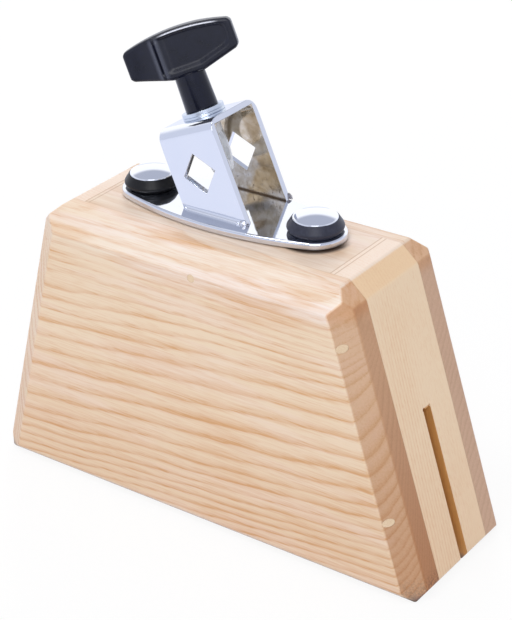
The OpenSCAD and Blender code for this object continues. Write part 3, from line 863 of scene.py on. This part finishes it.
def make_boards():
    outer = outer_test()
    rail_wood = ash("ash_top_rail", rail_rings, RAIL_TONES, 0.7)
    woods = {
        "front_slab": ash("ash_front_slab", front_rings, FRONT_TONES, 0.95),
        "rear_slab": ash("ash_rear_slab", rear_rings, REAR_TONES, 0.9, low_end=0.0),
        "top_rail": rail_wood,
        "left_end": end_ash("left_end", -1),
        "right_end": end_ash("right_end", 1),
    }
    cutter = board_cuts()
    for node, wood in woods.items():
        make_board(node, wood, outer, cutter)
    bpy.data.objects.remove(cutter)
    for node in ("front_bottom_strip", "rear_bottom_strip"):
        dress(cad[node], rail_wood)
    pins = grained_material("pin_wood", (3, 0.3, 3), PIN_TONES, 0.4, (0.04, 0.5))
    for node in ("front_pins", "rear_pins"):
        dress(cad[node], pins)


# Bracket

# Rounding of the plate's rim, of the strap's free edges and of the washers' edges, and the distance from a
# bolt within which the plate's edges stay sharp
PLATE_EASE = 1.0
STRAP_EASE = 0.3
WASHER_EASE = 0.18
HOLE_CLEAR = 6
# Bush: radius and depth of its neck through the plate, the share of its height at which it is widest, and
# width and height of the lip round the bolt's head
BUSH_NECK_RADIUS = 4.9
BUSH_NECK_DEPTH = 2.9
BULGE_SHARE = 0.34
BUSH_LIP = 0.35
BUSH_LIP_DEPTH = 0.5
# Bolt: radius of the shank and of its pointed end, height of the head's rim and of its dome
SHANK_RADIUS = 2.5
SHANK_END_RADIUS = 2.1
HEAD_RIM = 0.7
HEAD_DOME = 1.5


def make_plate(chrome):
    bolts = [sum(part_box(name), Vector()) / 2 for name in ("left_bush", "right_bush")]

    def rim(edge):
        level = all(abs(vertex.co.z - plate_top) < 0.01 * MM for vertex in edge.verts)
        middle = (edge.verts[0].co + edge.verts[1].co) / 2
        return level and min((middle - bolt).xy.length for bolt in bolts) > HOLE_CLEAR * MM

    eased("oval_plate", "base_plate", chrome, PLATE_EASE, 5, rim)


def make_strap(chrome):
    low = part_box("strap")[0].z

    def free(edge):
        return all(vertex.co.z > low + 0.1 * MM for vertex in edge.verts)

    eased("rod_strap", "strap", chrome, STRAP_EASE, 3, free)


def make_washers(zinc):
    for node, name in (("lower_washer", "washer_below"), ("upper_washer", "washer_above")):
        eased(name, node, zinc, WASHER_EASE, 3, lambda edge: True)


def make_bushes(rubber):
    bolt_low, bolt_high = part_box("bracket_bolts")
    for node in ("left_bush", "right_bush"):
        low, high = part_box(node)
        wide = (high.x - low.x) / 2 / MM
        tall = (high.z - plate_top) / MM
        lip = (bolt_high.y - bolt_low.y) / 2 / MM + BUSH_LIP
        seat = tall - BUSH_LIP_DEPTH
        profile = rounded([
            (BUSH_NECK_RADIUS, -BUSH_NECK_DEPTH, 0), (BUSH_NECK_RADIUS, 0, 0), (wide - 1.6, 0, 0.5),
            (wide, tall * BULGE_SHARE, 1.6), (lip, tall, 0.3), (lip - 0.3, tall, 0.1), (lip - 0.3, seat, 0.1),
            (SHANK_RADIUS, seat, 0),
        ], 6)
        middle = (low + high) / 2
        foot = Matrix.Translation((middle.x, middle.y, plate_top))
        piece(node + "_ring", turned(profile, foot, 96), rubber, 40, node)


def make_bolts(chrome):
    low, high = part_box("bracket_bolts")
    radius = (high.y - low.y) / 2
    wide = radius / MM
    top = high.z / MM
    tip = low.z / MM
    bottom = top - HEAD_RIM - HEAD_DOME
    curve = (wide ** 2 + HEAD_DOME ** 2) / (2 * HEAD_DOME)
    profile = [(0.0, tip), (SHANK_END_RADIUS, tip), (SHANK_RADIUS, tip + 0.4), (SHANK_RADIUS, bottom)]
    profile += [(wide - 0.25, bottom), (wide, bottom + 0.25)]
    profile += [(wide, bottom + HEAD_RIM - 0.1), (wide - 0.12, bottom + HEAD_RIM + 0.12)]
    for i in range(15):
        reach = (wide - 0.35) * (1 - i / 14)
        profile.append((reach, top - curve + math.sqrt(curve ** 2 - reach ** 2)))
    mesh = bmesh.new()
    for x in (low.x + radius, high.x - radius):
        turned(profile, Matrix.Translation((x, (low.y + high.y) / 2, 0)), 96, mesh)
    piece("bracket_bolt_pair", mesh, chrome, 35, "bracket_bolts")


# Weld: radius along a foot, radii of the lumps at its right and left end, their distance from the ends, and
# how far the weld reaches into the foot
FILLET_RADIUS = 1.4
LUMP_RADIUS = 2.0
LEFT_LUMP_RADIUS = 0.9
LUMP_INSET = 2.1
WELD_SINK = 0.2
# Drops beside the right lumps: how many, the radius of a middling one, and the seed of their places
LUMP_DROPS = 4
DROP_RADIUS = 0.62
DROP_SEED = 713


def add_fillet(mesh, start, end, y, face):
    """Adds a hollow fillet along a foot, a little uneven."""
    inside = y - face * WELD_SINK * MM
    rows = []
    for i in range(61):
        x = start + (end - start) * i / 60
        radius = (FILLET_RADIUS + 0.04 * noise.noise(Vector((x / MM * 0.07, face * 3.0, 0)))) * MM
        row = [mesh.verts.new((x, inside, plate_top))]
        for k in range(13):
            angle = math.pi / 2 * k / 12
            reach, rise = radius * (1 - math.sin(angle)), radius * (1 - math.cos(angle))
            row.append(mesh.verts.new((x, y + face * reach, plate_top + rise)))
        row.append(mesh.verts.new((x, inside, plate_top + radius)))
        rows.append(row)
    join_rings(mesh, rows)
    mesh.faces.new(rows[0])
    mesh.faces.new(rows[-1])


def add_drop(mesh, x, y, radius, foot_y, face):
    """Adds an uneven ball, cut flat at the plate and at the leg."""
    spot = Vector((x, y, plate_top))
    ball = bmesh.ops.create_icosphere(mesh, subdivisions=4, radius=radius, matrix=Matrix.Translation(spot))
    for vertex in ball["verts"]:
        vertex.co += (vertex.co - spot) * (noise.noise(vertex.co / MM * 0.8) * 0.14 - 0.05)
        vertex.co.z = max(vertex.co.z, plate_top)
        if (vertex.co.y - foot_y) * face < -WELD_SINK * MM:
            vertex.co.y = foot_y - face * WELD_SINK * MM


def add_drops(mesh, x, foot_y, face):
    """Adds the drops of spatter beside the lump at the right end of a foot."""
    for i in range(LUMP_DROPS):
        shift = noise.noise_vector(Vector((i * 3.1, 7.7, face * 5.3)))
        radius = (DROP_RADIUS + 0.3 * shift.z) * MM
        along = min((0.9 - 1.3 * i + shift.x) * MM, LUMP_RADIUS * MM - radius)
        out = face * (0.8 + 0.8 * abs(shift.y)) * MM
        add_drop(mesh, x + along, foot_y + out, radius, foot_y, face)


def make_welds(metal, chrome):
    """A fillet along each foot of the strap, a lump at each of its ends, and drops beside the right ones."""
    lumps = bmesh.new()
    fillets = bmesh.new()
    low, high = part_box("weld_beads")
    strap_low, strap_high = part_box("strap")
    left, right = low.x + LUMP_INSET * MM, high.x - LUMP_INSET * MM
    noise.seed_set(DROP_SEED)
    for face, foot_y in ((-1, strap_low.y), (1, strap_high.y)):
        add_fillet(fillets, left, right, foot_y, face)
        add_drop(lumps, left, foot_y, LEFT_LUMP_RADIUS * MM, foot_y, face)
        add_drop(lumps, right, foot_y, LUMP_RADIUS * MM, foot_y, face)
        add_drops(lumps, right, foot_y, face)
    for solid in (lumps, fillets):
        bmesh.ops.recalc_face_normals(solid, faces=solid.faces)
    piece("weld_spatter", lumps, metal, 50, "weld_beads")
    piece("foot_fillets", fillets, chrome, 30, "weld_beads", stands_for_node=False)


# Knob

# Wings: half their length and thickness, how far their underside rises and their thickness shrinks towards
# the tip, the rounding of their edges and of their tips, and the depth of their sunk panel
WING_REACH = 20.7
WING_HALF = 4.25
WING_TIP_RISE = 4.2
WING_TAPER = 2.4
WING_EDGE = 1.15
TIP_EDGE = 1.6
PANEL_DEPTH = 0.65
# Width of the border round their sunk panel at the top, below and at the tip
TOP_BORDER = 1.3
LOW_BORDER = 2.2
TIP_BORDER = 1.9
# Their groove and the lips beside it: depth or height, and about half the width
GROOVE_DEPTH = 0.55
GROOVE_WIDTH = 0.26
LIP_HEIGHT = 0.22
LIP_WIDTH = 0.3
# Neck: radius at the foot, under the wings and inside them, radius and depth of its bore, and how far it
# reaches into the wings
NECK_FOOT_RADIUS = 6.1
NECK_RADIUS = 5.7
NECK_END_RADIUS = 4.6
NECK_BORE_RADIUS = 4.1
NECK_BORE_DEPTH = 8
NECK_SINK = 1.2


def smooth_step(value, low, high):
    share = min(max((value - low) / (high - low), 0), 1)
    return share * share * (3 - 2 * share)


def soft_min(values, soft):
    return -soft * math.log(sum(math.exp(-value / soft) for value in values))


def wing_edges(along, foot, top):
    """Lowest and highest place of the wings at a distance along them."""
    high = top - CROWN_RADIUS + math.sqrt(CROWN_RADIUS ** 2 - along ** 2)
    low = foot + WING_TIP_RISE * max(0, (abs(along) - NECK_RADIUS) / (WING_REACH - NECK_RADIUS))
    corner = TIP_EDGE - (WING_REACH - abs(along))
    if corner > 0:
        cut = TIP_EDGE - math.sqrt(max(TIP_EDGE ** 2 - corner ** 2, 0))
        low, high = low + cut, high - cut
    return low, high


def wing_depth(along, height, low, high):
    """Distance of the front face from the wings' middle plane."""
    outer = max(0, (-along - RIDGE_REACH) / (WING_REACH - RIDGE_REACH))
    depth = WING_HALF - WING_TAPER * math.sin(math.pi / 2 * outer)
    borders = [high - height - TOP_BORDER, (height - low - LOW_BORDER) * 0.5, WING_REACH - TIP_BORDER - along]
    fade = smooth_step(along, -RIDGE_REACH + 1.6, -RIDGE_REACH + 4.6)
    depth -= PANEL_DEPTH * smooth_step(soft_min(borders, 0.8), 0.0, 1.0) * fade
    groove = GROOVE_DEPTH * math.exp(-((along + GROOVE_REACH) / GROOVE_WIDTH) ** 2)
    beside = abs(along + GROOVE_REACH) - GROOVE_LIP
    lip = LIP_HEIGHT * math.exp(-(beside / LIP_WIDTH) ** 2)
    depth += (lip - groove) * smooth_step(min(high - height, height - low), 1.8, 3.2)
    gap = min(high - height, height - low, WING_REACH - abs(along))
    if gap < WING_EDGE:
        depth -= WING_EDGE - math.sqrt(max(WING_EDGE ** 2 - (WING_EDGE - gap) ** 2, 0))
    return depth


def edge_share(i, count, edge=0.32):
    """Places from 0 to 1 that lie closer together near both ends."""
    share = i / count
    return (1 - edge) * share + edge * (share - math.sin(2 * math.pi * share) / (2 * math.pi))


def make_knob(plastic, neck_plastic):
    low, high = knob_span()
    foot = low + WING_FOOT
    columns, rows = 150, 56
    matrix = knob_frame()
    mesh = bmesh.new()
    rings = []
    for i in range(columns + 1):
        along = WING_REACH * (2 * edge_share(i, columns) - 1)
        bottom, top = wing_edges(along, foot, high)
        heights = [bottom + (top - bottom) * edge_share(k, rows) for k in range(rows + 1)]
        ring = []
        for side, places in ((-1, heights), (1, reversed(heights))):
            for height in places:
                spot = Vector((along, side * wing_depth(-side * along, height, bottom, top), height)) * MM
                ring.append(mesh.verts.new(matrix @ spot))
        rings.append(ring)
    join_rings(mesh, rings[::-1])
    for ring, order in ((rings[0], 1), (rings[-1], -1)):
        for k in range(rows):
            mesh.faces.new((ring[k], ring[k + 1], ring[-k - 2], ring[-k - 1])[::order])
    neck = rounded([
        (NECK_BORE_RADIUS, low + NECK_BORE_DEPTH, 0), (NECK_BORE_RADIUS, low, 0.2),
        (NECK_FOOT_RADIUS, low, 0.35), (NECK_RADIUS, foot + 0.4, 0),
        (NECK_END_RADIUS, foot + NECK_SINK, 0), (0, foot + NECK_SINK, 0),
    ], 4)
    piece("wing_knob_body", mesh, plastic, 40, "knob")
    piece("wing_knob_neck", turned(neck, matrix, 72), neck_plastic, 40, "knob", stands_for_node=False)


# Stage, lights and camera

# What polished metal mirrors of the floor, in linear values, and the dark part of it by the camera
FLOOR_MIRRORED = (0.95, 0.99, 1.16, 1)
FLOOR_SHADED = (0.1, 0.1, 0.12, 1)
# What it mirrors of the room in front, behind, to the right and above
ROOM_FRONT = (0.78, 0.82, 0.96, 1)
ROOM_BACK = (1.3, 1.3, 1.32, 1)
ROOM_RIGHT = (0.8, 0.83, 0.95, 1)
ROOM_ABOVE = (0.56, 0.59, 0.7, 1)
# Level of the light from all round, and power of the lamps in watts
AMBIENT = 0.55
KEY_POWER = 5.1
TOP_POWER = 0.6
BACK_POWER = 4.1
SPARK_POWER = 3.0


def ray_kinds(paint):
    """1 for the camera's rays, then for mirrored ones, then for those that pass through something clear."""
    outputs = paint.put("LightPath").socket.node.outputs
    return [Wire(paint, outputs[name]) for name in ("Is Camera Ray", "Is Glossy Ray", "Is Transmission Ray")]


def make_stage():
    paint = Paint("floor")
    camera, glossy, through = ray_kinds(paint)
    mirror = glossy.at_least(through)
    x, y, z = paint.parts(paint.place())
    shade = x.ease(0, 130) * y.fall(-150, -10)
    mirrored = paint.blend(shade, FLOOR_MIRRORED, FLOOR_SHADED)
    glow_tone = paint.blend(mirror, srgb(255, 255, 255), mirrored)
    lit = paint.put("BsdfDiffuse", None, {"Color": srgb(238, 238, 240)})
    glow = paint.put("Emission", None, {"Color": glow_tone, "Strength": 1.03})
    share = camera.at_least(mirror) * 0.86
    both = paint.put("MixShader", None, {0: share, 1: lit, 2: glow})
    paint.put("OutputMaterial", None, {"Surface": both})
    mesh = bmesh.new()
    bmesh.ops.create_grid(mesh, x_segments=1, y_segments=1, size=6)
    floor = linked("floor", as_mesh("floor", mesh))
    floor.location.z = -0.2 * MM
    dress(floor, paint.material)


def make_world():
    """White for the camera, even light for the wood, and a room with a bright back for what is polished."""
    paint = Paint("studio", bpy.data.worlds.new("studio"))
    camera, glossy, through = ray_kinds(paint)
    x, y, z = paint.parts(paint.put("TexCoord", None, None, "Generated"))
    room = paint.blend(x.ease(0.1, 0.5), ROOM_BACK, ROOM_RIGHT)
    room = paint.blend(y.ease(-0.3, 0.25), ROOM_FRONT, room)
    room = paint.blend(z.ease(0.47, 0.62), room, ROOM_ABOVE)
    even, mirrored, white = (
        paint.put("Background", None, {"Color": colour, "Strength": strength})
        for colour, strength in ((srgb(250, 251, 255), AMBIENT), (room, 1.0), ((1, 1, 1, 1), 1.0)))
    both = paint.put("MixShader", None, {0: glossy, 1: even, 2: mirrored})
    both = paint.put("MixShader", None, {0: camera.at_least(through), 1: both, 2: white})
    paint.put("OutputWorld", None, {"Surface": both})
    bpy.context.scene.world = paint.material


def lamp(name, place, aim, size, power, mirrored=True):
    """A square lamp, with its places and size in metres."""
    data = bpy.data.lights.new(name, "AREA")
    data.shape = "SQUARE"
    data.size = size
    data.energy = power
    obj = linked(name, data)
    obj.location = place
    obj.rotation_euler = (Vector(place) - Vector(aim)).to_track_quat("Z", "Y").to_euler()
    obj.visible_glossy = mirrored


def make_lights():
    make_world()
    middle = (0, 0, 0.08)
    lamp("key", (0.6, -0.95, 0.92), middle, 0.8, KEY_POWER)
    lamp("top", (-0.5, -0.25, 1.25), middle, 0.8, TOP_POWER)
    lamp("back", (-0.62, 0.95, 0.75), middle, 0.4, BACK_POWER, mirrored=False)
    lamp("spark", (-0.26, -0.46, 1.25), middle, 0.35, SPARK_POWER)


def make_camera():
    turns = (CAMERA_AZIMUTH, "Z"), (90 - CAMERA_ELEVATION, "X"), (CAMERA_ROLL, "Z")
    azimuth, tilt, roll = (Matrix.Rotation(math.radians(angle), 4, axis) for angle, axis in turns)
    data = bpy.data.cameras.new("camera")
    data.sensor_width = CAMERA_SENSOR
    data.lens = CAMERA_LENS
    data.clip_end = 20
    camera = linked("camera", data)
    camera.matrix_world = Matrix.Translation(CAMERA_PLACE) @ azimuth @ tilt @ roll
    bpy.context.scene.camera = camera


def main():
    make_camera()
    make_stage()
    make_lights()
    bpy.context.scene.view_settings.view_transform = "Standard"
    chrome = chrome_material()
    zinc = zinc_material("zinc", 0.22, 1.0, ZINC_TONES)
    make_boards()
    make_plate(chrome)
    make_strap(strap_material())
    make_bushes(rubber_material())
    make_bolts(chrome)
    make_welds(weld_material(), chrome)
    make_washers(zinc)
    make_knob(plastic_material("knob_plastic", 0.44, 0.22), plastic_material("neck_plastic", 0.32, 0.1))
    for node in ("bracket_washers", "bracket_nuts", "clamp_stud"):
        dress(cad[node], zinc)
    # The eye's pale tone is painted light
    dress(cad["clamp_eye"], zinc_material("satin_zinc", 0.3, 0.1, SATIN_LIT_TONES))
    dress(cad["knob_insert"], grained_material("brass", (1, 1, 8), BRASS_TONES, 0.2, (0.03, 0.4), 1.0))


main()
